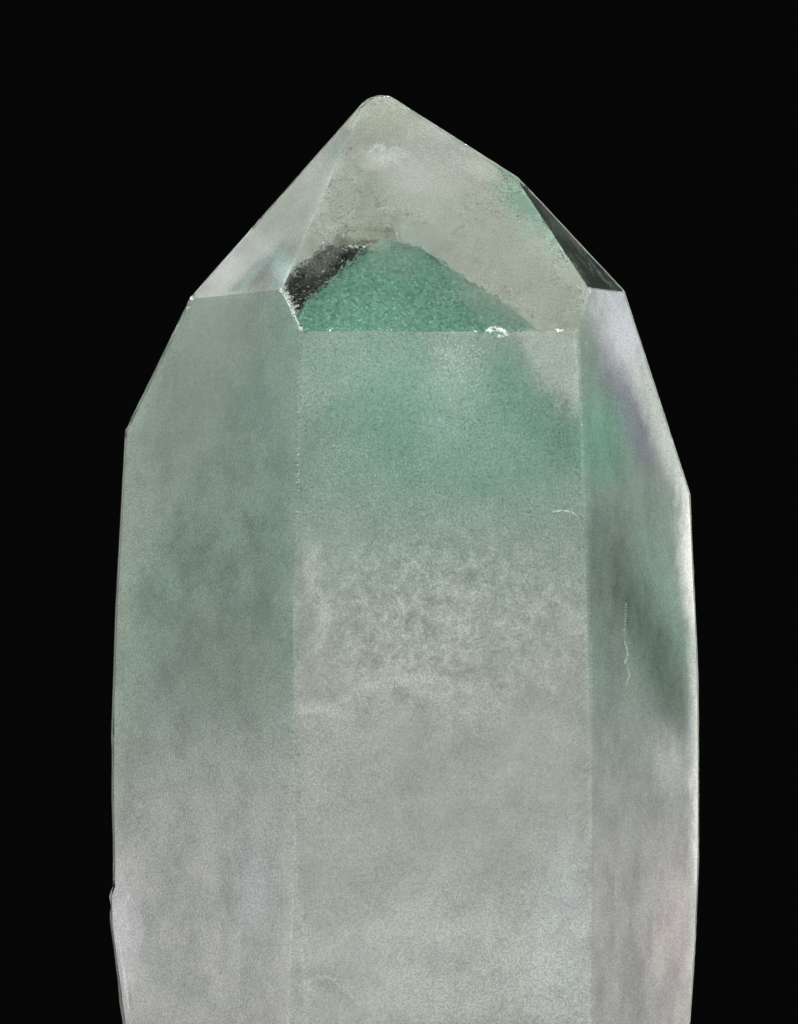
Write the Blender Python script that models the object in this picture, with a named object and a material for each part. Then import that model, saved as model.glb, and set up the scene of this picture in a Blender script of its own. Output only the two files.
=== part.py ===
"""A natural quartz point, standing on its sawn base: one solid.

Metres, +Z up, with the middle of the base at the origin. The front is -Y, and every azimuth is counted from
there towards +X. The prism has six faces, m1 to m6, and the tip has one face above each, r1 to r6. m1 is the
broad front face.
"""

import math
import random

import bmesh
import bpy
from mathutils import Matrix, Vector

MM = 0.001

# Azimuth of each prism face in degrees. A quartz prism's faces stand 60 degrees apart, and m1 is turned a
# little from the front.
TURN = 8.0
AZIMUTH = {f"m{k + 1}": TURN + 60 * k for k in range(6)}

# Each prism face as (height, distance from the axis) in mm, from the base up. It leans in towards the tip
# and is widest at the waist. m3 and m5 draw in again towards the base, and m5 has the growth ledges of the
# outline.
PROFILE = {
    "m1": [(0, 13.1), (8, 13.5), (70, 12.44)],
    "m2": [(0, 12.6), (8, 12.95), (32.8, 12.92), (70, 11.42)],
    "m3": [(0, 11.5), (8, 11.8), (15, 12.15), (18.2, 12.75), (23, 13.3), (30.3, 13.3), (70, 11.84)],
    "m4": [(0, 12.4), (11.6, 12.9), (11.9, 13.1), (31, 13.1), (45, 12.75), (45.3, 12.6), (70, 12.0)],
    "m5": [(0, 11.3), (7.4, 11.6), (7.6, 11.7), (15, 12.0), (16.2, 12.3), (17.2, 12.43), (19.2, 12.8),
           (20.1, 13.0), (21.5, 13.0), (22, 12.8), (24.2, 12.8), (26.3, 12.9), (28.8, 12.8), (29.5, 12.93),
           (70, 10.9)],
    "m6": [(0, 12.5), (8, 12.97), (36, 12.97), (70, 11.47)],
}

# Each face of the tip: azimuth and slope of its normal above level in degrees, and the height in mm at which
# its plane crosses the axis. r1, r3 and r5 are the large ones, and meet at the tip.
TIP_FACES = {
    "r1": (7.8, 38.05, 66.0),
    "r2": (68.6, 40.0, 66.25),
    "r3": (130.7, 37.8, 57.9),
    "r4": (188.0, 38.2, 64.5),
    "r5": (246.3, 35.3, 61.75),
    "r6": (306.3, 39.9, 66.2),
}

# Two faces closer than FLAT_WITHIN degrees are one, and two that meet at more than REAL_EDGE degrees have
# an edge, which is worn to a facet EDGE_WEAR wide. The very tip is worn down to a small face, given by the
# azimuth and slope of its normal.
FLAT_WITHIN = 0.05
REAL_EDGE = 12.0
EDGE_WEAR = 0.07 * MM
TIP_WORN_OFF = 0.36 * MM
WORN_TIP_FACE = (340.0, 78.0)

# A narrow facet that cuts the edge between m6 and m1 in the lower half: azimuth, lean outwards towards the
# tip in degrees, and the height in mm at which it runs out.
STRIP_FACET = (338.0, 1.6, 25.0)

# Chips along the edges of the tip: the faces that meet at the two ends of the edge, how far along it the chip
# lies, and its width and depth in mm. The first is the loop-shaped one in the middle of the front.
TIP_CHIPS = [
    ("r1 m1 m6", "r1 m1 m2", 0.70, 1.15, 0.16),
    ("r1 m1 m6", "r1 m1 m2", 0.63, 0.40, 0.06),
    ("r1 m1 m6", "r1 m1 m2", 0.11, 0.55, 0.07),
    ("r1 m1 m6", "r1 m1 m2", 0.33, 0.35, 0.05),
    ("r1 m1 m6", "r1 m1 m2", 0.93, 0.50, 0.07),
    ("r1 m1 m6", "r1 r6 m6", 0.05, 0.60, 0.12),
    ("r1 m1 m6", "r1 r6 m6", 0.45, 0.70, 0.10),
    ("r1 m1 m6", "r1 r6 m6", 0.94, 0.60, 0.12),
    ("r1 m1 m2", "r1 r2 m2", 0.90, 0.45, 0.07),
    ("r5 r6 m6", "r1 r6 m6", 0.03, 0.60, 0.12),
    ("r5 m5 m6", "r5 r6 m6", 0.04, 0.70, 0.12),
    ("r1 r3 r5", "r1 r2 r3", 0.62, 0.60, 0.07),
    ("r3 m2 m3", "r2 r3 m2", 0.30, 0.60, 0.08),
    ("r3 r4 m4", "r3 m3 m4", 0.50, 1.40, 0.22),
    ("r3 r4 r5", "r1 r3 r5", 0.40, 1.00, 0.14),
    ("r4 r5 m4", "r5 m4 m5", 0.55, 0.90, 0.14),
]

# Chips along the long edges of the prism: the two faces, the height, and the width and depth in mm.
LONG_CHIPS = [
    ("m5", "m6", 21.0, 1.0, 0.12), ("m5", "m6", 33.0, 0.7, 0.07), ("m5", "m6", 9.5, 1.3, 0.16),
    ("m6", "m1", 15.5, 0.6, 0.06), ("m1", "m2", 27.0, 0.5, 0.05), ("m1", "m2", 10.0, 0.9, 0.10),
    ("m2", "m3", 18.0, 0.8, 0.09), ("m2", "m3", 29.5, 0.5, 0.06), ("m3", "m4", 36.0, 1.2, 0.14),
    ("m3", "m4", 14.0, 1.6, 0.22), ("m4", "m5", 41.0, 0.9, 0.10), ("m4", "m5", 24.0, 1.1, 0.13),
]

# Chips round the rim of the sawn base, spread from one seed: how many, the least and most width in mm, the
# depth as a share of the width, how far each strays as a share of its room, and how much more it faces
# sideways than down.
RIM_CHIPS = 13
RIM_CHIP_WIDTH = (0.9, 2.4)
RIM_CHIP_DEPTH = 0.16
RIM_CHIP_STRAY = 0.3
RIM_CHIP_SIDEWAYS = 1.2
RIM_SEED = 12

# Broad shell-shaped breaks that run up the back from the base, from when the crystal came off its rock:
# azimuth, width, length up the crystal and depth in mm.
BREAKS = [(202, 11.0, 12.0, 0.85), (187, 7.5, 18.0, 0.45), (150, 8.0, 15.0, 0.55)]

# Each chip is cut by a ball of triangles. It is turned about this axis by an angle, in radians per millimetre
# of its radius, that gives every size of ball another turn, so that the facets of no two chips line up.
BALL_AXIS = Vector((0.48, 0.6, 0.64))
BALL_TURN = 40.0
CHIP_DETAIL = 2
BREAK_DETAIL = 4

QUARTZ_COLOUR = (0.36, 0.45, 0.39, 1)
QUARTZ_ROUGHNESS = 0.12


def outwards(azimuth, slope=0.0):
    """Unit vector at an azimuth and a slope above level, both in degrees."""
    a, s = math.radians(azimuth), math.radians(slope)
    return Vector((math.sin(a) * math.cos(s), -math.cos(a) * math.cos(s), math.sin(s)))


def distance_at(face, height):
    """Distance in metres of a prism face from the axis, at a height in mm."""
    points = PROFILE[face]
    for (z0, d0), (z1, d1) in zip(points, points[1:]):
        if z0 <= height <= z1:
            return (d0 + (d1 - d0) * (height - z0) / (z1 - z0)) * MM
    raise ValueError(f"{face} has no height {height}")


def meeting_point(planes):
    """The point that three planes share, each given as (unit normal, distance from the origin)."""
    rows = Matrix([normal for normal, _ in planes])
    return rows.inverted() @ Vector([distance for _, distance in planes])


def prism_corner(face, next_face, height):
    """Where two neighbouring prism faces meet, at a height in mm."""
    sides = [(outwards(AZIMUTH[name]), distance_at(name, height)) for name in (face, next_face)]
    return meeting_point([*sides, (Vector((0, 0, 1)), height * MM)])


def plane_of(name):
    """A face of the tip, or a prism face up at the tip, as (unit normal, distance from the origin)."""
    if name in TIP_FACES:
        azimuth, slope, height = TIP_FACES[name]
        normal = outwards(azimuth, slope)
        return normal, normal.z * height * MM
    (z0, d0), (z1, d1) = PROFILE[name][-2:]
    normal = outwards(AZIMUTH[name], math.degrees(math.atan2(d0 - d1, z1 - z0)))
    on_face = outwards(AZIMUTH[name]) * d0 * MM + Vector((0, 0, z0 * MM))
    return normal, normal.dot(on_face)


def tip_corner(names):
    """The corner of the tip where three faces meet, named in one string."""
    return meeting_point([plane_of(name) for name in names.split()])


def split(bm, point, normal, clear=False):
    """Splits every face at a plane, or cuts away what lies outside it; returns what now lies on the plane."""
    everything = bm.verts[:] + bm.edges[:] + bm.faces[:]
    return bmesh.ops.bisect_plane(
        bm, geom=everything, dist=1e-8, plane_co=point, plane_no=normal, clear_outer=clear
    )["geom_cut"]


def cut(bm, point, normal):
    """Cuts away what lies outside a plane and closes the cut with one flat face."""
    rim = [e for e in split(bm, point, normal, clear=True) if isinstance(e, bmesh.types.BMEdge)]
    bmesh.ops.holes_fill(bm, edges=rim, sides=0)


def by_azimuth(verts):
    """The corners of a ring in order of azimuth, from the one between m1 and m2 on."""
    return sorted(verts, key=lambda v: math.atan2(v.co.x, -v.co.y) % math.tau)


def grown_form():
    """The crystal with sharp edges: a six-sided bar, shaped ring by ring, then cut to the tip's faces."""
    bm = bmesh.new()
    names = list(PROFILE)
    heights = sorted({z for points in PROFILE.values() for z, _ in points})
    base = bmesh.ops.create_circle(bm, cap_ends=True, segments=6, radius=distance_at("m1", 0))["verts"]
    bmesh.ops.rotate(bm, verts=base, matrix=Matrix.Rotation(math.radians(TURN), 3, "Z"))
    grown = bmesh.ops.extrude_face_region(bm, geom=bm.faces[:])["geom"]
    top = [g for g in grown if isinstance(g, bmesh.types.BMVert)]
    bmesh.ops.translate(bm, verts=top, vec=(0, 0, heights[-1] * MM))
    level = Vector((0, 0, 1))
    rings = {heights[0]: base, heights[-1]: top}
    for height in heights[1:-1]:
        rings[height] = [
            g for g in split(bm, level * height * MM, level) if isinstance(g, bmesh.types.BMVert)
        ]
    for height, ring in rings.items():
        for vert, face, next_face in zip(by_azimuth(ring), names, names[1:] + names[:1]):
            vert.co = prism_corner(face, next_face, height)
    bmesh.ops.dissolve_limit(
        bm, angle_limit=math.radians(FLAT_WITHIN), verts=bm.verts[:], edges=bm.edges[:]
    )
    for name in TIP_FACES:
        normal, distance = plane_of(name)
        cut(bm, normal * distance, normal)
    azimuth, lean, height = STRIP_FACET
    cut(bm, prism_corner("m6", "m1", height), outwards(azimuth, -lean))
    cut(bm, tip_corner("r1 r3 r5") - Vector((0, 0, TIP_WORN_OFF)), outwards(*WORN_TIP_FACE))
    bmesh.ops.recalc_face_normals(bm, faces=bm.faces[:])
    return bm


def wear_edges(bm):
    """Takes a hair's breadth off every real edge, so that none is razor sharp."""
    sharp = [e for e in bm.edges if e.calc_face_angle(0) > math.radians(REAL_EDGE)]
    bmesh.ops.bevel(
        bm, geom=sharp, offset=EDGE_WEAR, affect="EDGES", segments=1, profile=0.5, material=-1,
        clamp_overlap=True
    )


def scoop(bm, edge_point, out, width, depth, detail=CHIP_DETAIL, stretch=1.0):
    """Adds a ball that takes a shell-shaped chip of this width and depth, as quartz breaks, off an edge."""
    radius = (width * width / 4 + depth * depth) / (2 * depth)
    made = bmesh.ops.create_icosphere(bm, subdivisions=detail, radius=radius)["verts"]
    turn = Matrix.Rotation(radius / MM * BALL_TURN, 3, BALL_AXIS)
    bmesh.ops.rotate(bm, verts=made, matrix=turn)
    bmesh.ops.scale(bm, verts=made, vec=(1, 1, stretch))
    bmesh.ops.translate(bm, verts=made, vec=edge_point + out * (radius - depth))


def chip_cutters():
    """All the balls that chip the edges, in one mesh; no two touch."""
    bm = bmesh.new()
    for start, end, share, width, depth in TIP_CHIPS:
        point = tip_corner(start).lerp(tip_corner(end), share)
        shared = [name for name in start.split() if name in end.split()]
        out = sum((plane_of(name)[0] for name in shared), Vector()).normalized()
        scoop(bm, point, out, width * MM, depth * MM)
    for face, next_face, height, width, depth in LONG_CHIPS:
        out = (outwards(AZIMUTH[face]) + outwards(AZIMUTH[next_face])).normalized()
        scoop(bm, prism_corner(face, next_face, height), out, width * MM, depth * MM)
    return bm


def break_cutter(azimuth, width, length, depth):
    """The ball for one large break, with its middle on the rim of the base."""
    bm = bmesh.new()
    face = min(AZIMUTH, key=lambda name: abs(AZIMUTH[name] - azimuth))
    reach = distance_at(face, 0) / math.cos(math.radians(azimuth - AZIMUTH[face]))
    out = outwards(azimuth)
    scoop(bm, out * reach, out, width * MM, depth * MM, BREAK_DETAIL, length / width)
    return bm


def rim_cutters():
    """The balls that chip the rim of the base, spread evenly with a little disorder."""
    bm = bmesh.new()
    rng = random.Random(RIM_SEED)
    names = list(PROFILE)
    for k in range(RIM_CHIPS):
        along = 6 * (k + rng.uniform(-RIM_CHIP_STRAY, RIM_CHIP_STRAY)) / RIM_CHIPS % 6
        face = int(along)
        start = prism_corner(names[face - 1], names[face], 0)
        end = prism_corner(names[face], names[(face + 1) % 6], 0)
        out = (outwards(AZIMUTH[names[face]]) * RIM_CHIP_SIDEWAYS - Vector((0, 0, 1))).normalized()
        width = rng.uniform(*RIM_CHIP_WIDTH) * MM
        scoop(bm, start.lerp(end, along - face), out, width, width * RIM_CHIP_DEPTH)
    return bm


def new_object(name, bm):
    """Puts a bmesh into a new object of that name, in the scene."""
    mesh = bpy.data.meshes.new(name)
    bm.to_mesh(mesh)
    bm.free()
    made = bpy.data.objects.new(name, mesh)
    bpy.context.scene.collection.objects.link(made)
    return made


def chip_away(body, name, bm):
    """Cuts a mesh of scoops out of the crystal with a Boolean; the cutter itself is no part of the object."""
    cutter = new_object(name, bm)
    cutter.hide_render = True
    cutter.display_type = "WIRE"
    boolean = body.modifiers.new(name, "BOOLEAN")
    boolean.operation = "DIFFERENCE"
    boolean.solver = "EXACT"
    boolean.object = cutter


def quartz_material():
    """Clear quartz, tinted by the green mica and the milky cloud in it."""
    material = bpy.data.materials.new("quartz")
    material.use_nodes = True
    shader = material.node_tree.nodes["Principled BSDF"]
    shader.inputs["Base Color"].default_value = QUARTZ_COLOUR
    shader.inputs["Roughness"].default_value = QUARTZ_ROUGHNESS
    shader.inputs["Metallic"].default_value = 0.0
    return material


for old in list(bpy.data.objects):
    bpy.data.objects.remove(old, do_unlink=True)

form = grown_form()
wear_edges(form)
crystal = new_object("quartz_crystal", form)
crystal.data.materials.append(quartz_material())
chip_away(crystal, "edge_chips", chip_cutters())
for number, values in enumerate(BREAKS):
    chip_away(crystal, f"break_{number + 1}", break_cutter(*values))
chip_away(crystal, "rim_chips", rim_cutters())
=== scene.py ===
"""A quartz point with a green fuchsite phantom, dressed around its solid. Metres, +Z up, front at -Y."""

import math
import random

import bmesh
import bpy
from mathutils import Matrix, Vector, noise
from mathutils.bvhtree import BVHTree


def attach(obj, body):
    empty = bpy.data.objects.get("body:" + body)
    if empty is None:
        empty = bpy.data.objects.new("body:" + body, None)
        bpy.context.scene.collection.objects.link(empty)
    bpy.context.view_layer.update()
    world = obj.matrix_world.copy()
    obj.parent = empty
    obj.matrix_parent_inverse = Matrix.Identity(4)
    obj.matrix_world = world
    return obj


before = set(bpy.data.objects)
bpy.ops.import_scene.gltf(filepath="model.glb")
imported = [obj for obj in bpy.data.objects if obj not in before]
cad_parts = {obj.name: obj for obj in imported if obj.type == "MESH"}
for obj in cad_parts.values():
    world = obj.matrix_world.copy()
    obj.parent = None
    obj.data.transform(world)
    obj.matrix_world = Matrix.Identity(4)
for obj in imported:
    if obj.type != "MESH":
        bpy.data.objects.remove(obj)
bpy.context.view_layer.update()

# The camera
# A long lens at arm's length, level with the middle of the photograph's frame. The crystal's axis stands a
# little right of the middle of the frame, and the frame cuts its foot off. One pixel shows PIXEL of it.
MM = 0.001
FRAME_WIDTH = 798
FRAME_HEIGHT = 1024
PIXEL = 0.0505 * MM
AXIS_COLUMN = 405.5
MIDDLE_HEIGHT = 40.8 * MM
CAMERA_DISTANCE = 360 * MM
SENSOR = 36.0
NEAREST_SEEN = 10 * MM
FURTHEST_SEEN = 10.0

camera = bpy.data.objects.new("camera", bpy.data.cameras.new("camera"))
bpy.context.scene.collection.objects.link(camera)
bpy.context.scene.camera = camera
camera.location = ((FRAME_WIDTH / 2 - AXIS_COLUMN) * PIXEL, -CAMERA_DISTANCE, MIDDLE_HEIGHT)
camera.rotation_euler = (math.radians(90), 0, 0)
camera.data.sensor_width = SENSOR
camera.data.lens = SENSOR * CAMERA_DISTANCE / (FRAME_HEIGHT * PIXEL)
camera.data.clip_start = NEAREST_SEEN
camera.data.clip_end = FURTHEST_SEEN


# The clear quartz
# The whole crystal, one piece of clear quartz with a faint grey-green cast, flat bright faces and worn,
# chipped edges. Its solid stays as it is, and only gets its finish here.
def linear(red, green, blue):
    """A colour as an eye reads it, 0 to 255, as the shader's linear colour."""
    channels = [c / 255 for c in (red, green, blue)]
    return (*[c / 12.92 if c <= 0.04045 else ((c + 0.055) / 1.055) ** 2.4 for c in channels], 1.0)


class Wire:
    """The output of a shader node, so that maths on values reads as plain sums and products."""

    def __init__(self, finish, socket):
        self.finish, self.socket = finish, socket

    def maths(self, operation, first, second):
        return self.finish.node("ShaderNodeMath", {"operation": operation}, {0: first, 1: second})

    def __add__(self, other):
        return self.maths("ADD", self, other)

    def __radd__(self, other):
        return self.maths("ADD", other, self)

    def __sub__(self, other):
        return self.maths("SUBTRACT", self, other)

    def __rsub__(self, other):
        return self.maths("SUBTRACT", other, self)

    def __mul__(self, other):
        return self.maths("MULTIPLY", self, other)

    def __rmul__(self, other):
        return self.maths("MULTIPLY", other, self)


class Finish:
    """One material, whose patterns are measured in millimetres on the object.

    A blot's rim is pushed in and out by RAGGED_BY, and fades between the two values of BLOT_RIM.
    """

    RAGGED_BY = 1.2
    BLOT_RIM = (2.2, 0.9)

    def __init__(self, name):
        self.material = bpy.data.materials.new(name)
        self.material.use_nodes = True
        self.tree = self.material.node_tree
        self.tree.nodes.clear()

    def node(self, kind, settings=None, inputs=None, output=0):
        """Adds a node with its settings, and the values or wires of its sockets, and returns one output."""
        made = self.tree.nodes.new(kind)
        for key, value in (settings or {}).items():
            setattr(made, key, value)
        for key, value in (inputs or {}).items():
            if isinstance(value, Wire):
                self.tree.links.new(value.socket, made.inputs[key])
            else:
                made.inputs[key].default_value = value
        return Wire(self, made.outputs[output])

    def place(self):
        """Object coordinates in millimetres."""
        here = self.node("ShaderNodeTexCoord", output="Object")
        return self.node("ShaderNodeMapping", inputs={"Vector": here, "Scale": (1 / MM, 1 / MM, 1 / MM)})

    def height(self, place):
        """How high a place lies."""
        return self.node("ShaderNodeSeparateXYZ", inputs={0: place}, output=2)

    def noise(self, place, size, detail=2.0, rough=0.5, warp=0.0):
        """Cloudy noise from 0 to 1 whose lumps are about this many millimetres across."""
        return self.node(
            "ShaderNodeTexNoise",
            inputs={
                "Vector": place, "Scale": 1 / size, "Detail": detail, "Roughness": rough, "Distortion": warp,
            },
        )

    def rise(self, value, low, high, least=0.0, most=1.0):
        """Goes smoothly from least at low to most at high; low may be the larger, for a fall."""
        return self.node(
            "ShaderNodeMapRange", {"interpolation_type": "SMOOTHSTEP"},
            {"Value": value, "From Min": low, "From Max": high, "To Min": least, "To Max": most},
        )

    def blot(self, place, middle, size, lean, ragged):
        """1 in the middle of an ellipsoid, 0 outside it. Its upper end leans right and its rim is ragged."""
        local = self.node(
            "ShaderNodeMapping", {"vector_type": "TEXTURE"},
            {"Vector": place, "Location": middle, "Rotation": (0, math.radians(lean), 0), "Scale": size},
        )
        far = self.node("ShaderNodeVectorMath", {"operation": "LENGTH"}, {0: local}, output="Value")
        return self.rise(far + self.RAGGED_BY * ragged, *self.BLOT_RIM)

    def either(self, first, second):
        """The larger of two values."""
        return self.node("ShaderNodeMath", {"operation": "MAXIMUM"}, {0: first, 1: second})

    def mix(self, factor, first, second):
        """A blend of two colours."""
        return self.node(
            "ShaderNodeMix", {"data_type": "RGBA"}, {0: factor, 6: first, 7: second}, output=2
        )

    def scale(self, colour, factor):
        """A colour made darker or paler."""
        return self.node("ShaderNodeVectorMath", {"operation": "SCALE"}, {0: colour, "Scale": factor})

    def matt(self, colour, alpha=1.0, roughness=0.8, shine=0.0):
        """A matt surface of this colour, of which alpha is there and the rest is clear."""
        return self.node(
            "ShaderNodeBsdfPrincipled",
            inputs={
                "Base Color": colour, "Roughness": roughness, "Specular IOR Level": shine, "Alpha": alpha,
            },
        )

    def finish_with(self, surface, volume=None):
        """Ends the material with its surface, and what fills the piece where that isn't empty."""
        out = self.tree.nodes.new("ShaderNodeOutputMaterial")
        self.tree.links.new(surface.socket, out.inputs["Surface"])
        if volume:
            self.tree.links.new(volume.socket, out.inputs["Volume"])
        self.material.use_transparent_shadow = False
        return self.material


QUARTZ_IOR = 1.544
POLISH = 0.02
WAVE_WIDTH = 3.0
WAVE_DEPTH = 0.2 * MM
WAVE_STRENGTH = 0.05
CLEAR = (1, 1, 1, 1)
GREEN_CAST = linear(222, 232, 218)
CAST_DENSITY = 8.0


def clear_quartz():
    """Polished quartz, faintly wavy, with a grey-green cast that grows with the way through it."""
    finish = Finish("clear_quartz")
    waves = finish.noise(finish.place(), WAVE_WIDTH, detail=3)
    bump = finish.node(
        "ShaderNodeBump", inputs={"Height": waves, "Strength": WAVE_STRENGTH, "Distance": WAVE_DEPTH}
    )
    surface = finish.node(
        "ShaderNodeBsdfPrincipled",
        inputs={
            "Base Color": CLEAR, "Roughness": POLISH, "IOR": QUARTZ_IOR, "Transmission Weight": 1.0,
            "Normal": bump,
        },
    )
    volume = finish.node(
        "ShaderNodeVolumeAbsorption", inputs={"Color": GREEN_CAST, "Density": CAST_DENSITY}
    )
    return finish.finish_with(surface, volume)


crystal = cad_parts["quartz_crystal"]
for slot in crystal.material_slots:
    slot.material = clear_quartz()


# The phantom and the cloud
# An earlier stage of the same crystal, smaller and dusted with green fuchsite flakes on the faces of its tip,
# then grown over. Below the dusting the quartz is milky with fine inclusions. It is no separate piece: it is
# modelled as the form that the dust and the milk take inside the clear quartz.

# The sides of the prism are m1 to m6 and the faces of the tip r1 to r6, from the front towards +X. m1 is
# turned by TURN degrees, and a face that looks up by more than STEEP_TIP degrees is one of the tip. The cloud
# follows the sides that are larger than LARGE_FACE.
TURN = 8.0
STEEP_TIP = 20.0
LARGE_FACE = 55 * MM * MM

# How deep in mm the cloud lies under each side of the prism, and which finish each face has: 0 for the front,
# 1 for the left, 2 for the right and 3 for the rear.
CLOUD_DEPTH = {"m1": 0.9, "m2": 0.9, "m3": 1.1, "m4": 1.7, "m5": 1.3, "m6": 0.9}
CLOUD_SLOT = {
    "m1": 0, "m2": 2, "m3": 3, "m4": 3, "m5": 3, "m6": 1,
    "r1": 0, "r2": 2, "r3": 3, "r4": 3, "r5": 3, "r6": 1,
}

# Each face of the phantom's tip: azimuth and slope of its normal in degrees, and the height in mm at which
# its plane crosses the axis. The top is worn to a small face, given in the same way, and the rear edge is cut
# back.
PHANTOM_TIP = {
    "r1": (7.8, 38.05, 56.7), "r2": (70.0, 41.0, 56.8), "r3": (130.7, 37.8, 49.7),
    "r4": (188.0, 38.2, 55.2), "r5": (252.0, 36.0, 53.5), "r6": (306.3, 39.9, 59.0),
}
BLUNT_TOP = (-60, 86, 52.4)
BACK_EDGE = -148
BACK_EDGE_REACH = 12.0
SHOULDER_ROUND = 1.5
SHOULDER_STEPS = 4
FOOT = 0.3

# The milk goes over into dust along a line that wanders up and down, and both are mottled. Sizes in mm.
WANDER = 7.0
WANDER_WIDTH = 5.0
DUST_FLECK = 0.22
MILK_BLOTCH = 1.8
MOTTLING = (0.3, 0.7)
DUST_DARK, DUST_PALE = linear(78, 127, 107), linear(122, 168, 149)

# Corners closer than MERGE_WITHIN are one, two faces closer than FLAT_WITHIN degrees are one, and a form is
# cut from a block of BLOCK_SIZE. A normal that dips below DOWNWARDS belongs to the base.
MERGE_WITHIN = 1e-7
CUT_WITHIN = 1e-8
FLAT_WITHIN = 0.2
BLOCK_SIZE = 200 * MM
DOWNWARDS = -0.9
UP = Vector((0, 0, 1))


def outwards(azimuth, slope=0.0):
    """Unit vector at an azimuth and a slope above level, both in degrees."""
    a, s = math.radians(azimuth), math.radians(slope)
    return Vector((math.sin(a) * math.cos(s), -math.cos(a) * math.cos(s), math.sin(s)))


def face_name(normal):
    """m1 to m6 for a face of the prism and r1 to r6 for one of the tip, counted from the front towards +X."""
    azimuth = math.degrees(math.atan2(normal.x, -normal.y))
    kind = "r" if normal.z > math.sin(math.radians(STEEP_TIP)) else "m"
    return kind + str(round((azimuth - TURN) / 60) % 6 + 1)


def crystal_copy():
    """A bmesh of the crystal's solid, in which each flat face is one face."""
    bm = bmesh.new()
    bm.from_mesh(crystal.data)
    bmesh.ops.remove_doubles(bm, verts=bm.verts[:], dist=MERGE_WITHIN)
    bmesh.ops.dissolve_limit(bm, angle_limit=math.radians(FLAT_WITHIN), verts=bm.verts[:], edges=bm.edges[:])
    return bm


def cut(bm, point, normal, slot=0):
    """Cuts away what lies outside a plane and closes the cut with one flat face."""
    everything = bm.verts[:] + bm.edges[:] + bm.faces[:]
    result = bmesh.ops.bisect_plane(
        bm, geom=everything, dist=CUT_WITHIN, plane_co=point, plane_no=normal, clear_outer=True
    )
    rim = [e for e in result["geom_cut"] if isinstance(e, bmesh.types.BMEdge)]
    for face in bmesh.ops.holes_fill(bm, edges=rim, sides=0)["faces"]:
        face.material_index = slot


def grown_inside(depths, slots, foot):
    """A form inside the crystal, with its faces these depths in mm under the crystal's, from a foot up."""
    bm = bmesh.new()
    bmesh.ops.create_cube(bm, size=BLOCK_SIZE)
    for face in skin.faces:
        name = face_name(face.normal)
        if face.calc_area() > LARGE_FACE and name in depths and face.normal.z > DOWNWARDS:
            cut(bm, face.calc_center_median() - face.normal * depths[name] * MM, face.normal, slots[name])
    cut(bm, UP * foot * MM, -UP)
    return bm


def new_piece(name, bm, *materials):
    """Makes a mesh object of a bmesh, which rides with the crystal."""
    mesh = bpy.data.meshes.new(name)
    bm.to_mesh(mesh)
    for material in materials:
        mesh.materials.append(material)
    made = bpy.data.objects.new(name, mesh)
    bpy.context.scene.collection.objects.link(made)
    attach(made, "root")


def milk_and_dust(name, green_from, green_to, milk_dark, milk_pale):
    """Milky quartz that goes over into green dust between two heights in mm."""
    finish = Finish(name)
    place = finish.place()
    wandering = finish.height(place) + WANDER * finish.noise(place, WANDER_WIDTH, detail=4)
    green = finish.rise(wandering, green_from + WANDER / 2, green_to + WANDER / 2)
    fleck = finish.noise(place, DUST_FLECK, detail=3, rough=0.7)
    dust = finish.mix(finish.rise(fleck, *MOTTLING), DUST_DARK, DUST_PALE)
    blotch = finish.noise(place, MILK_BLOTCH, detail=6, rough=0.7)
    milk = finish.mix(finish.rise(blotch, *MOTTLING), milk_dark, milk_pale)
    return finish.finish_with(finish.matt(finish.mix(green, milk, dust)))


def round_off(bm, width, chosen):
    """Rounds the edges between pairs of faces that chosen() picks by their names."""
    edges = [e for e in bm.edges if chosen(*sorted(face_name(f.normal) for f in e.link_faces))]
    bmesh.ops.bevel(
        bm, geom=edges, affect="EDGES", offset=width * MM, segments=SHOULDER_STEPS, profile=0.5, material=-1,
        clamp_overlap=True,
    )


skin = crystal_copy()
cloud = grown_inside(CLOUD_DEPTH, CLOUD_SLOT, FOOT)
for face, (azimuth, slope, height) in PHANTOM_TIP.items():
    cut(cloud, UP * height * MM, outwards(azimuth, slope), CLOUD_SLOT[face])
azimuth, slope, height = BLUNT_TOP
cut(cloud, UP * height * MM, outwards(azimuth, slope), CLOUD_SLOT["r1"])
cut(cloud, outwards(BACK_EDGE) * BACK_EDGE_REACH * MM, outwards(BACK_EDGE), CLOUD_SLOT["m4"])
bmesh.ops.recalc_face_normals(cloud, faces=cloud.faces[:])
round_off(cloud, SHOULDER_ROUND, lambda first, second: first[0] == "m" and second[0] == "r")
new_piece(
    "phantom_and_cloud", cloud,
    milk_and_dust("milk_and_dust_front", 31.0, 43.0, linear(128, 134, 127), linear(184, 187, 180)),
    milk_and_dust("milk_and_dust_left", 24.0, 36.0, linear(120, 130, 121), linear(176, 181, 173)),
    milk_and_dust("milk_and_dust_right", 24.0, 36.0, linear(120, 126, 119), linear(176, 178, 172)),
    milk_and_dust("milk_and_dust_rear", 41.0, 46.0, linear(182, 187, 179), linear(212, 215, 208)),
)

# The fuchsite
# Thousands of thin plates of green mica, about a tenth of a millimetre across, that settled on the faces of
# the phantom's tip. They lie thickest on its front, pile up along its edges, and thin out down its sides.
# Sizes and heights are in mm, and tilts in degrees.
FLAKES = 21000
FLAKE_RADIUS = (0.03, 0.07)
FLAKE_TILT = 17
FLAKE_LIFT = 0.02
DUST_SHARE = {
    "r1": 1.0, "r2": 0.8, "r3": 0.6, "r4": 0.4, "r5": 0.6, "r6": 0.8,
    "m1": 0.35, "m2": 0.12, "m3": 0.08, "m4": 0.04, "m5": 0.08, "m6": 0.25,
}
LOWEST_FLAKE = 36.0
THINNING = 12.0
EDGE_FLAKES = 3400
LOWEST_EDGE = 45.0
EDGE_TILT = 50
EDGE_PILE = 0.3
CLUMP = 0.45
FLAKE_TINT = 0.3
SEED = 7
rng = random.Random(SEED)


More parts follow.
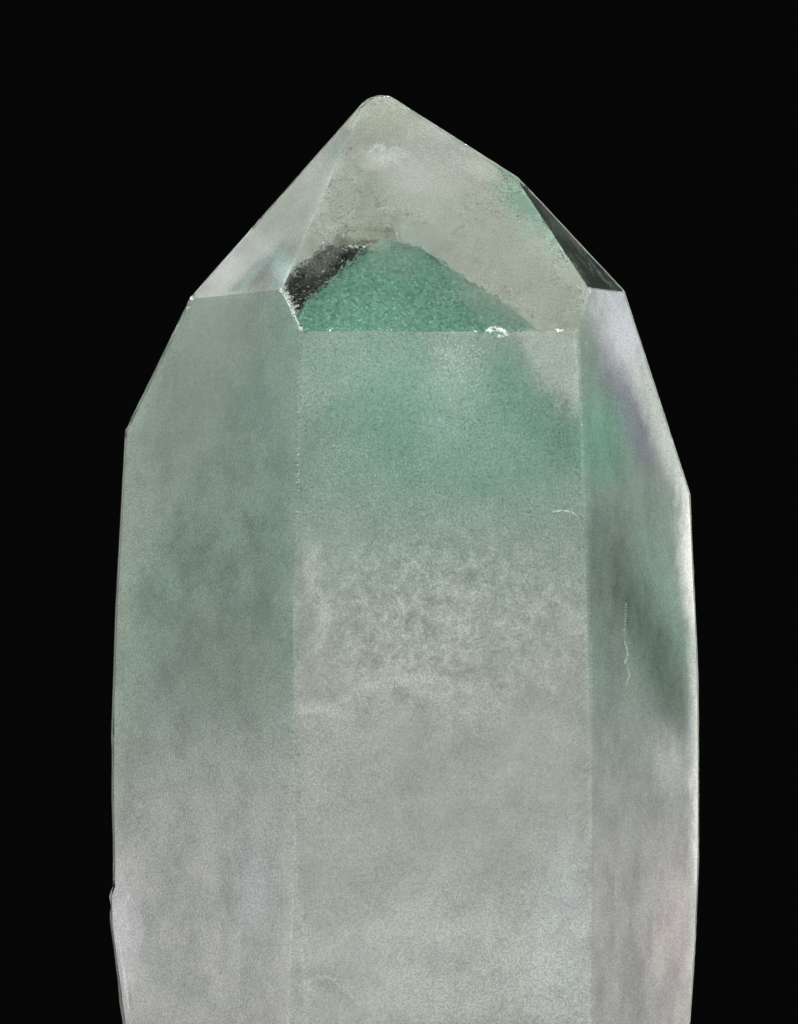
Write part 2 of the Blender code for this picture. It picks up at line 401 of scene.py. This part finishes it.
def small_form(name, sides, top, depth):
    """One small closed form of radius 1: a low pyramid or plate with this many sides."""
    bm = bmesh.new()
    bmesh.ops.create_cone(bm, cap_ends=True, segments=sides, radius1=1, radius2=top, depth=depth)
    mesh = bpy.data.meshes.new(name)
    bm.to_mesh(mesh)
    bm.free()
    return mesh


def strew(bm, pattern, place, normal, radius, tilt):
    """Adds one copy of a small mesh at a place, tilted at random away from a face's normal."""
    lean = Matrix.Rotation(math.radians(rng.uniform(-tilt, tilt)), 4, "X")
    turn = Matrix.Rotation(rng.uniform(0, math.tau), 4, "Z")
    stand = normal.to_track_quat("Z", "Y").to_matrix().to_4x4()
    matrix = Matrix.Translation(place) @ stand @ turn @ lean @ Matrix.Scale(radius * MM, 4)
    pattern.transform(matrix)
    bm.from_mesh(pattern)
    pattern.transform(matrix.inverted())


def spots_on(bm, count, share):
    """Random points on a form, as (point, normal), weighted by the area and the share of each face."""
    triangles = bm.calc_loop_triangles()
    weights = []
    for a, b, c in triangles:
        area = (b.vert.co - a.vert.co).cross(c.vert.co - a.vert.co).length
        weights.append(area * share.get(face_name(a.face.normal), 0) if a.face.normal.z > DOWNWARDS else 0)
    for a, b, c in rng.choices(triangles, weights, k=count):
        u, v = sorted((rng.random(), rng.random()))
        yield a.vert.co * u + b.vert.co * (v - u) + c.vert.co * (1 - v), a.face.normal


def spots_by_edges(bm, count, lowest):
    """Random points along a form's upper edges, as (point, normal)."""
    edges = [e for e in bm.edges if min(v.co.z for v in e.verts) > lowest * MM]
    for edge in rng.choices(edges, [e.calc_length() for e in edges], k=count):
        first, second = edge.verts
        yield first.co.lerp(second.co, rng.random()), edge.link_faces[0].normal + edge.link_faces[1].normal


def mica(name, dark, pale):
    """Mica flakes, each a little lighter or darker than the next, with a faint pearly shine."""
    finish = Finish(name)
    tint = finish.noise(finish.place(), FLAKE_TINT, detail=2, rough=0.8)
    colour = finish.mix(finish.rise(tint, *MOTTLING), dark, pale)
    return finish.finish_with(finish.matt(colour, roughness=0.5, shine=0.15))


plate = small_form("plate", sides=5, top=0.0, depth=0.25)
dust = bmesh.new()
for place, normal in spots_on(cloud, FLAKES, DUST_SHARE):
    if place.z > (LOWEST_FLAKE + rng.random() * THINNING) * MM:
        strew(dust, plate, place + normal * FLAKE_LIFT * MM, normal, rng.uniform(*FLAKE_RADIUS), FLAKE_TILT)
for place, normal in spots_by_edges(cloud, EDGE_FLAKES, LOWEST_EDGE):
    pile = rng.random() * EDGE_PILE * (0.5 + noise.noise(place / (CLUMP * MM))) * MM
    strew(dust, plate, place + normal.normalized() * pile, normal, rng.uniform(*FLAKE_RADIUS), EDGE_TILT)
new_piece("fuchsite_flakes", dust, mica("fuchsite", linear(86, 134, 115), linear(158, 200, 182)))

# The painted dark reflection
# A dense cluster of nearly black flakes that hangs in the clear quartz along the phantom's left slope. It is
# a painted dark reflection of the dark room seen past the phantom's ridge, laid in as flakes. It is placed by
# the pixels of its corners, and the face of the tip lifts what is behind it by LIFT pixels. How far it
# reaches in front of and behind the phantom's front face, and how far its flakes stray, are in mm.
LIFT = 31
PAINTED_DARK_CORNERS = [(292, 312), (366, 250), (322, 248), (284, 284)]
PAINTED_DARK_FLAKES = 4500
PAINTED_DARK_REACH = (-0.1, 0.5)
PAINTED_DARK_STRAY = 0.15
PAINTED_DARK_TILT = 40


def sight(column, row):
    """The direction in which the camera sees a pixel of the photograph."""
    aim = Vector(((column - AXIS_COLUMN) * PIXEL, 0, MIDDLE_HEIGHT + (FRAME_HEIGHT / 2 - row) * PIXEL))
    return aim - camera.location


def seen_on(column, row, point, normal):
    """Where the camera's ray through a pixel of the photograph meets a plane."""
    ray = sight(column, row)
    return camera.location + ray * (point - camera.location).dot(normal) / ray.dot(normal)


front_azimuth, front_slope, front_height = PHANTOM_TIP["r1"]
front = outwards(front_azimuth, front_slope)
corners = [seen_on(column, row + LIFT, UP * front_height * MM, front) for column, row in PAINTED_DARK_CORNERS]
painted_dark = bmesh.new()
for _ in range(PAINTED_DARK_FLAKES):
    u, v = rng.random(), rng.random()
    place = corners[0].lerp(corners[1], u).lerp(corners[3].lerp(corners[2], u), v)
    place += Vector((rng.gauss(0, PAINTED_DARK_STRAY), 0, rng.gauss(0, PAINTED_DARK_STRAY))) * MM
    deep = rng.uniform(*PAINTED_DARK_REACH) * MM
    strew(painted_dark, plate, place - front * deep, front, rng.uniform(*FLAKE_RADIUS), PAINTED_DARK_TILT)
# Painted dark reflection, made of nearly black mica flakes.
new_piece("painted_dark_reflection_flakes", painted_dark, mica("painted_dark_reflection_mica", linear(5, 8, 6), linear(48, 58, 50)))


# The haze
# Fine veils of tiny bubbles a hair's breadth under the faces, with soft stains of dust and of bubbles. Some
# of
# their blots are painted light instead: reflections, highlights, rim light and shade on the sides of the
# prism, and a near black painted dark reflection under the tip's right face. They are thinnest under the foot
# of the tip's front face, so that the phantom shows, and thick under the sides.
# They are made as one form, drawn up ring by ring inside the prism and cut to the faces of the tip.

# How deep in mm the veils lie, and which of their finishes is under each face, in the order in which they are
# made below.
HAZE_DEPTH = 0.2
HAZE_SLOT = {
    "m1": 0, "m2": 2, "m3": 6, "m4": 6, "m5": 6, "m6": 1,
    "r1": 3, "r2": 5, "r3": 7, "r4": 7, "r5": 7, "r6": 4, "strip": 8,
}

# The heights in mm of the rings of corners. A ring's corners are found by level rays from the axis, up to
# HIGHEST_RAY, and above that each side goes on straight as it ran over the last RAY_STEP.
RING_HEIGHTS = [0.4, 4, 8, 11.5, 12, 15, 18.5, 20.1, 21.5, 22, 24, 26.3, 29, 31, 36, 40, 66]
HIGHEST_RAY = 40
RAY_STEP = 4
VEIL_TOP = 61.5

# The azimuth of the narrow facet between m6 and m1, and how near to it a normal lies, as a cosine. The
# shell-shaped breaks low on the back are cut off by planes: azimuth, distance from the axis in mm, and slope.
STRIP_AZIMUTH = -22
STRIP_NEARNESS = 0.995
BACK_BREAKS = [(202, 11.6, -4.0), (150, 11.5, -4.8)]

# Between which heights in mm the veils go over from the foot's look to the top's, and how far that line
# wanders.
VEIL_HEIGHTS = (31.0, 47.0)
SIDE_HEIGHTS = (22.0, 36.0)
TIP_HEIGHTS = (56.0, 58.6)
REAR_TIP_HEIGHTS = (55.5, 58.0)
VEIL_WANDER = 6.0

# Widths of the patterns in mm, the ranges of each that show, and how strongly the finest one speckles.
BLOTCH_WIDTH = 2.5
GRAIN_WIDTH = 0.09
RAGGED_WIDTH = 0.9
VEIN_WIDTH = 0.75
BLOTCHES = (0.25, 0.7, 0.8, 1.15)
GRAIN_RANGE = (0.25, 0.75)
SPECKLE = 0.27
COVER_SPECKLE = 0.1
DARK_VEINS = (0.5, 0.32)
PALE_VEINS = (0.47, 0.64)
VEIN_DARK, VEIN_PALE = linear(120, 130, 121), linear(212, 214, 209)

# Where cracks have healed: the pixel of its middle, its half sizes in mm, and its cover. It and the blots
# below, stains and painted light alike, reach BLOT_DEPTH mm to the front and to the back.
BLOT_DEPTH = 20.0
HEALED = (425, 622)
HEALED_SIZE = (7.0, BLOT_DEPTH, 4.6)
HEALED_COVER = 0.9

# Stains under the front, the left and the right of the prism and the front and the left of the tip. The lists
# for the left and the right of the prism also hold painted rim light, highlights, reflections and shade,
# marked where they stand. Each is (column, row, half width, half height, lean in degrees, colour, cover), in
# the photograph's pixels.
OLIVE, PALE_OLIVE = linear(142, 148, 136), linear(172, 178, 166)
DEEP_GREEN, TEAL = linear(86, 136, 113), linear(118, 156, 136)
WHITE = linear(222, 224, 220)
FRONT_STAINS = [
    (546, 420, 26, 95, -50, DEEP_GREEN, 0.5),
    (395, 415, 40, 36, 0, DEEP_GREEN, 0.3),
    (470, 445, 130, 60, 0, linear(137, 171, 154), 0.55),
    (320, 370, 26, 64, 0, linear(166, 176, 164), 0.5),
    (564, 366, 42, 60, -35, linear(156, 164, 154), 0.85),
    (455, 370, 30, 60, 15, WHITE, 0.28),
    (312, 568, 10, 24, 0, WHITE, 0.45),
    (322, 625, 8, 28, 8, WHITE, 0.55),
    (400, 682, 44, 10, 4, WHITE, 0.45),
    (320, 709, 36, 6, 14, WHITE, 0.4),
    (440, 965, 150, 62, 0, WHITE, 0.35),
    (565, 930, 30, 90, 0, linear(204, 210, 212), 0.5),
]
LEFT_STAINS_AND_PAINTED_LIGHT = [
    # Painted rim light: a pale strip along the left edge.
    (128, 560, 26, 240, 3, linear(176, 190, 177), 0.6),
    (195, 400, 44, 150, 25, linear(156, 164, 155), 0.6),
    (222, 655, 60, 60, 0, linear(150, 156, 148), 0.45),
    # Painted highlight on the ledges low on the left edge.
    (124, 930, 18, 66, 0, linear(226, 222, 226), 0.85),
    (255, 890, 26, 60, 0, linear(196, 200, 204), 0.35),
]
RIGHT_STAINS_AND_PAINTED_LIGHT = [
    # The next five are painted reflections: a pale glare, a dark violet-grey streak and a pale streak at the
    # top of the right face, then bright strips along its right edge.
    (621, 335, 27, 58, -18, linear(208, 209, 215), 0.9),
    (628, 418, 19, 58, -26, linear(132, 128, 144), 0.75),
    (660, 430, 14, 90, -22, linear(206, 210, 206), 0.8),
    (691, 560, 15, 100, -3, linear(238, 239, 235), 1.0),
    (698, 800, 12, 260, 0, linear(234, 235, 230), 0.95),
    (600, 440, 30, 44, 0, linear(122, 176, 150), 0.55),
    # Painted shade: a dark patch on the right face.
    (608, 580, 24, 70, 0, linear(120, 128, 118), 0.6),
    (662, 590, 12, 80, -22, linear(150, 176, 160), 0.6),
    # Painted shadow: a dark diagonal band down the right face.
    (652, 650, 20, 90, -22, linear(94, 112, 98), 0.7),
    (668, 765, 16, 34, -10, WHITE, 0.5),
    (672, 950, 26, 90, 0, linear(222, 212, 210), 0.55),
]
TIP_STAINS = [
    (430, 182, 150, 62, 0, linear(152, 158, 147), 0.6),
    (430, 165, 80, 62, 0, linear(170, 173, 166), 0.7),
    (368, 227, 34, 14, 0, linear(146, 152, 139), 0.6),
    (366, 236, 36, 8, 0, linear(150, 157, 143), 0.7),
    (396, 258, 30, 18, 0, linear(150, 196, 176), 0.25),
    (512, 250, 60, 86, -40, linear(150, 156, 144), 0.65),
    (550, 300, 50, 32, 0, linear(142, 151, 138), 0.65),
    (342, 200, 28, 66, 26, linear(146, 152, 139), 0.6),
    (384, 118, 40, 26, 0, linear(160, 166, 152), 0.75),
    (372, 215, 15, 46, -10, linear(126, 134, 118), 0.6),
    (378, 154, 10, 8, 0, linear(206, 208, 204), 0.6),
    (392, 156, 9, 7, 0, linear(206, 208, 204), 0.5),
    (535, 205, 24, 44, -38, TEAL, 0.45),
    (565, 245, 16, 40, -35, TEAL, 0.4),
]
TIP_LEFT_STAINS = [
    (285, 274, 28, 15, 38, linear(190, 214, 206), 0.8),
    (255, 258, 34, 11, 40, linear(158, 156, 164), 0.6),
    (222, 266, 50, 18, 42, linear(206, 208, 206), 0.6),
    (315, 185, 80, 22, 52, linear(206, 212, 206), 0.5),
    (352, 118, 30, 16, 52, PALE_OLIVE, 0.95),
]

SURFACE = BVHTree.FromBMesh(skin)


def under_surface(column, row, depth=0.0):
    """The point this many mm under the crystal's surface that a pixel of the photograph shows."""
    place, normal, _, _ = SURFACE.ray_cast(camera.location, sight(column, row))
    return place - normal * depth * MM if place else None


def haze(name, top, foot, covers, heights=VEIL_HEIGHTS, stains_and_painted_light=(), mottle=0.0):
    """Fine veils under a face, which go from a foot's colour and cover to a top's between two heights in mm.

    The mottle is how far darker and paler veins show where many cracks have healed. Each blot in
    stains_and_painted_light lays its own colour and cover over the veils. Some are stains, and some are
    painted light and shade.
    """
    finish = Finish(name)
    place = finish.place()
    blotch = finish.noise(place, BLOTCH_WIDTH, detail=4, rough=0.65)
    grain = finish.noise(place, GRAIN_WIDTH, detail=2, rough=0.8)
    ragged = finish.noise(place, RAGGED_WIDTH, detail=4, rough=0.65)
    upwards = finish.rise(finish.height(place) + VEIL_WANDER * blotch - VEIL_WANDER / 2, *heights)
    colour = finish.mix(upwards, foot, top)
    cover = finish.rise(upwards, 0.0, 1.0, *covers) * finish.rise(blotch, *BLOTCHES)
    for column, row, wide, high, lean, tint, strength in stains_and_painted_light:
        middle = under_surface(column, row) / MM
        size = (wide * PIXEL / MM, BLOT_DEPTH, high * PIXEL / MM)
        here = finish.blot(place, middle, size, lean, ragged) * strength
        colour = finish.mix(here, colour, tint)
        cover = finish.either(cover, here)
    if mottle:
        healed = finish.blot(place, under_surface(*HEALED) / MM, HEALED_SIZE, 0, ragged) * mottle
        veins = finish.noise(place, VEIN_WIDTH, detail=6, rough=0.8, warp=0.5)
        colour = finish.mix(healed * finish.rise(veins, *DARK_VEINS), colour, VEIN_DARK)
        colour = finish.mix(healed * finish.rise(veins, *PALE_VEINS), colour, VEIN_PALE)
        cover = finish.either(cover, healed * HEALED_COVER)
    speckled = finish.scale(colour, finish.rise(grain, *GRAIN_RANGE, 1 - SPECKLE, 1 + SPECKLE))
    cover = cover * finish.rise(grain, *GRAIN_RANGE, 1 - COVER_SPECKLE, 1 + COVER_SPECKLE)
    return finish.finish_with(finish.matt(speckled, cover))


def even_haze(name, colour, cover, stains_and_painted_light=()):
    """Veils of one colour and one cover all the way up a face."""
    return haze(name, colour, colour, (cover, cover), stains_and_painted_light=stains_and_painted_light)


def reach(side, height):
    """How far a side of the prism lies from the axis at a height, both in mm."""
    if height > HIGHEST_RAY:
        lower, upper = reach(side, HIGHEST_RAY - RAY_STEP), reach(side, HIGHEST_RAY)
        return upper + (upper - lower) * (height - HIGHEST_RAY) / RAY_STEP
    return SURFACE.ray_cast(UP * height * MM, outwards(TURN + 60 * side))[3] / MM


def veil_corner(side, height):
    """Where the veils under one side of the prism and the next, 60 degrees further round, meet."""
    first, second = outwards(TURN + 60 * side), outwards(TURN + 60 * side + 60)
    near, far = reach(side, height) - HAZE_DEPTH, reach(side + 1, height) - HAZE_DEPTH
    sine_squared = 0.75
    return (first * (near - far / 2) + second * (far - near / 2)) / sine_squared * MM + UP * height * MM


def veiled_prism(heights):
    """A six-sided bar just inside the prism's sides, with a ring of corners at each height in mm."""
    bm = bmesh.new()
    bmesh.ops.create_circle(bm, cap_ends=True, segments=6, radius=MM)
    top = bm.faces[:][0]
    for height in heights:
        if height > heights[0]:
            below = top
            grown = bmesh.ops.extrude_face_region(bm, geom=[below])["geom"]
            top = [part for part in grown if isinstance(part, bmesh.types.BMFace)][0]
            if height > heights[1]:
                bmesh.ops.delete(bm, geom=[below], context="FACES_ONLY")
        ring = sorted(top.verts, key=lambda v: math.atan2(v.co.x, -v.co.y) % math.tau)
        for side, vert in enumerate(ring):
            vert.co = veil_corner(side, height)
    bmesh.ops.recalc_face_normals(bm, faces=bm.faces[:])
    return bm


def veil_name(normal):
    """The name of the face that a veil lies under, or strip for the narrow facet between m6 and m1."""
    return "strip" if normal.dot(outwards(STRIP_AZIMUTH)) > STRIP_NEARNESS else face_name(normal)


veils = veiled_prism(RING_HEIGHTS)
broadest = {veil_name(face.normal): face for face in sorted(skin.faces, key=lambda f: f.calc_area())}
for name in ("r1", "r2", "r3", "r4", "r5", "r6", "strip"):
    face = broadest[name]
    cut(veils, face.calc_center_median() - face.normal * HAZE_DEPTH * MM, face.normal)
for azimuth, distance, slope in BACK_BREAKS:
    cut(veils, outwards(azimuth) * distance * MM, outwards(azimuth, slope))
cut(veils, UP * VEIL_TOP * MM, UP)
bmesh.ops.recalc_face_normals(veils, faces=veils.faces[:])
for face in veils.faces:
    face.material_index = HAZE_SLOT[veil_name(face.normal)]
new_piece(
    "haze", veils,
    haze(
        "haze_front", linear(158, 172, 162), linear(178, 183, 175), (0.6, 0.48),
        stains_and_painted_light=FRONT_STAINS, mottle=0.72,
    ),
    haze("haze_left", linear(146, 163, 152), linear(200, 202, 197), (0.75, 0.85), SIDE_HEIGHTS, LEFT_STAINS_AND_PAINTED_LIGHT),
    haze("haze_right", linear(142, 157, 147), linear(184, 184, 181), (0.75, 0.8), SIDE_HEIGHTS, RIGHT_STAINS_AND_PAINTED_LIGHT),
    haze("haze_tip", linear(174, 181, 169), OLIVE, (0.05, 0.72), TIP_HEIGHTS, TIP_STAINS),
    even_haze("haze_tip_left", linear(181, 188, 180), 0.6, TIP_LEFT_STAINS),
    # Painted dark reflection: the veil under the tip's right face is near black.
    even_haze("painted_dark_reflection_tip_right", linear(42, 51, 45), 0.92),
    even_haze("haze_rear", linear(204, 210, 200), 0.45),
    haze("haze_tip_rear", linear(152, 158, 147), linear(152, 158, 147), (0.2, 0.98), REAR_TIP_HEIGHTS),
    even_haze("haze_strip", linear(182, 187, 179), 0.72),
)

# The white wisps and grains
# Rows and clouds of white bubbles, healed cracks and bruised spots just under the faces, and white chips
# along the worn edges. Each grain is a small closed form.

# How deep in mm each kind lies, how the grains of a row vary in size, and how far they tilt. A row is (pixels
# along it, spread in pixels, how many grains, their radius in mm).
BUBBLE_DEPTH = (0.06, 0.2)
SCRATCH_DEPTH = (0.05, 0.08)
CHIP_DEPTH = (0.06, 0.12)
GRAIN_SHARE = (0.5, 1.4)
GRAIN_TILT = 90
WISPS = [
    ([(370, 151), (376, 144), (384, 147), (380, 155), (385, 166)], 1.3, 420, 0.024),
    ([(389, 152), (396, 148), (405, 154)], 2.2, 240, 0.02),
    ([(318, 548), (309, 565), (311, 585), (322, 597)], 3, 420, 0.016),
    ([(327, 600), (323, 625), (318, 650)], 3, 420, 0.017),
    ([(352, 560), (390, 556), (430, 575), (480, 600)], 16, 500, 0.015),
    ([(360, 690), (385, 682), (412, 680), (442, 676)], 3, 420, 0.017),
    ([(278, 722), (300, 712), (330, 706), (352, 698)], 2, 360, 0.016),
    ([(440, 350), (455, 362), (475, 350), (468, 380)], 9, 400, 0.016),
    ([(330, 460), (380, 480), (440, 470)], 20, 300, 0.014),
    ([(185, 306), (189, 309)], 1, 14, 0.04),
    ([(116, 905), (128, 930), (140, 950)], 5, 200, 0.02),
    ([(235, 738), (255, 735), (280, 715)], 2, 160, 0.014),
    ([(660, 762), (668, 775), (680, 790)], 6, 260, 0.016),
    ([(655, 985), (662, 930)], 8, 200, 0.014),
    ([(302, 984), (315, 978), (330, 978), (345, 989), (360, 1006)], 1.2, 260, 0.015),
    ([(255, 880), (262, 895)], 7, 160, 0.014),
]
SCRATCHES = [
    ([(553, 512), (562, 510), (572, 512), (580, 518)], 0.4, 60, 0.022),
    ([(626, 603), (625, 640), (628, 655), (625, 664)], 0.6, 260, 0.028),
    ([(628, 664), (630, 676), (626, 686)], 0.7, 90, 0.028),
    ([(621, 866), (616, 876), (616, 905)], 0.6, 150, 0.024),
    ([(283, 850), (284, 930), (286, 1020)], 0.5, 160, 0.018),
    ([(264, 860), (266, 960)], 0.5, 90, 0.016),
    ([(613, 960), (608, 990), (605, 1016)], 0.8, 60, 0.02),
    ([(224, 842), (224, 847)], 0.4, 12, 0.03),
    ([(297, 966), (298, 970)], 0.5, 10, 0.03),
    ([(299, 984), (299, 987)], 0.4, 8, 0.03),
]
CHIPPED_EDGES = [
    ([(300, 328), (400, 328)], 0.8, 40, 0.018),
    ([(400, 328), (580, 328)], 0.6, 30, 0.014),
    ([(485, 331), (494, 327), (503, 330), (508, 335), (498, 336)], 0.9, 110, 0.035),
    ([(299, 330), (298, 520)], 0.8, 50, 0.02),
    ([(586, 330), (586, 420)], 0.6, 20, 0.02),
    ([(285, 290), (290, 305), (297, 328)], 0.8, 36, 0.02),
    ([(584, 370), (584, 440)], 0.6, 16, 0.02),
]


def near_line(stops, spread):
    """A random pixel near a line through these pixels."""
    k = rng.randrange(len(stops) - 1)
    share = rng.random()
    return [a + (b - a) * share + rng.gauss(0, spread) for a, b in zip(stops[k], stops[k + 1])]


def grains(name, rows, depth, finish):
    """Small solids strewn along rows, joined into one piece."""
    bm = bmesh.new()
    for stops, spread, count, radius in rows:
        for _ in range(count):
            place = under_surface(*near_line(stops, spread), rng.uniform(*depth))
            if place:
                strew(bm, bubble, place, UP, radius * rng.uniform(*GRAIN_SHARE), GRAIN_TILT)
    new_piece(name, bm, finish)


def plain(name, colour, roughness):
    """A plain white finish for grains too small to show a pattern of their own."""
    finish = Finish(name)
    return finish.finish_with(finish.matt(colour, roughness=roughness, shine=0.2))


bubble = small_form("bubble", sides=4, top=0.35, depth=1.2)
grains("white_wisps", WISPS, BUBBLE_DEPTH, plain("white_bubbles", linear(214, 220, 212), 0.6))
grains("scratches", SCRATCHES, SCRATCH_DEPTH, plain("scratch_white", linear(205, 212, 204), 0.6))
grains("chipped_edges", CHIPPED_EDGES, CHIP_DEPTH, plain("chip_white", linear(232, 236, 230), 0.5))

# The floor and the light
# A plain pale floor and a dark room, with soft light from three panels above the crystal: one on each side of
# the front and one behind. No face that the camera sees mirrors them.
FLOOR_RADIUS = 200 * MM
FLOOR_SIDES = 96
PALE_GREY = (0.24, 0.24, 0.235, 1)
DARK = (0.002, 0.002, 0.002, 1)

# Each panel: azimuth and slope in degrees, distance from the crystal's heart and size in metres, and power
# in watts.
PANELS = {
    "left_panel": (-44, 31, 0.55, (0.65, 0.42), 6.4),
    "right_panel": (58, 31, 0.55, (0.5, 0.42), 7.7),
    "back_panel": (158, 53, 0.5, (0.17, 0.24), 5.4),
}
HEART = Vector((0, 0, 0.035))

disc = bmesh.new()
bmesh.ops.create_circle(disc, cap_ends=True, segments=FLOOR_SIDES, radius=FLOOR_RADIUS)
data = bpy.data.meshes.new("floor")
disc.to_mesh(data)
floor = bpy.data.objects.new("floor", data)
bpy.context.scene.collection.objects.link(floor)
finish = Finish("pale_floor")
data.materials.append(finish.finish_with(finish.matt(PALE_GREY, roughness=0.7)))


def panel(name, azimuth, slope, distance, size, power):
    """A soft rectangular light that faces the crystal's heart."""
    light = bpy.data.lights.new(name, "AREA")
    light.shape = "RECTANGLE"
    light.size, light.size_y = size
    light.energy = power
    made = bpy.data.objects.new(name, light)
    bpy.context.scene.collection.objects.link(made)
    made.location = HEART + outwards(azimuth, slope) * distance
    made.rotation_mode = "QUATERNION"
    made.rotation_quaternion = outwards(azimuth, slope).to_track_quat("Z", "Y")


for name, looks in PANELS.items():
    panel(name, *looks)

world = bpy.data.worlds.new("room")
bpy.context.scene.world = world
world.use_nodes = True
world.node_tree.nodes["Background"].inputs["Color"].default_value = DARK
bpy.context.scene.view_settings.view_transform = "Standard"
bpy.context.scene.cycles.use_light_tree = False
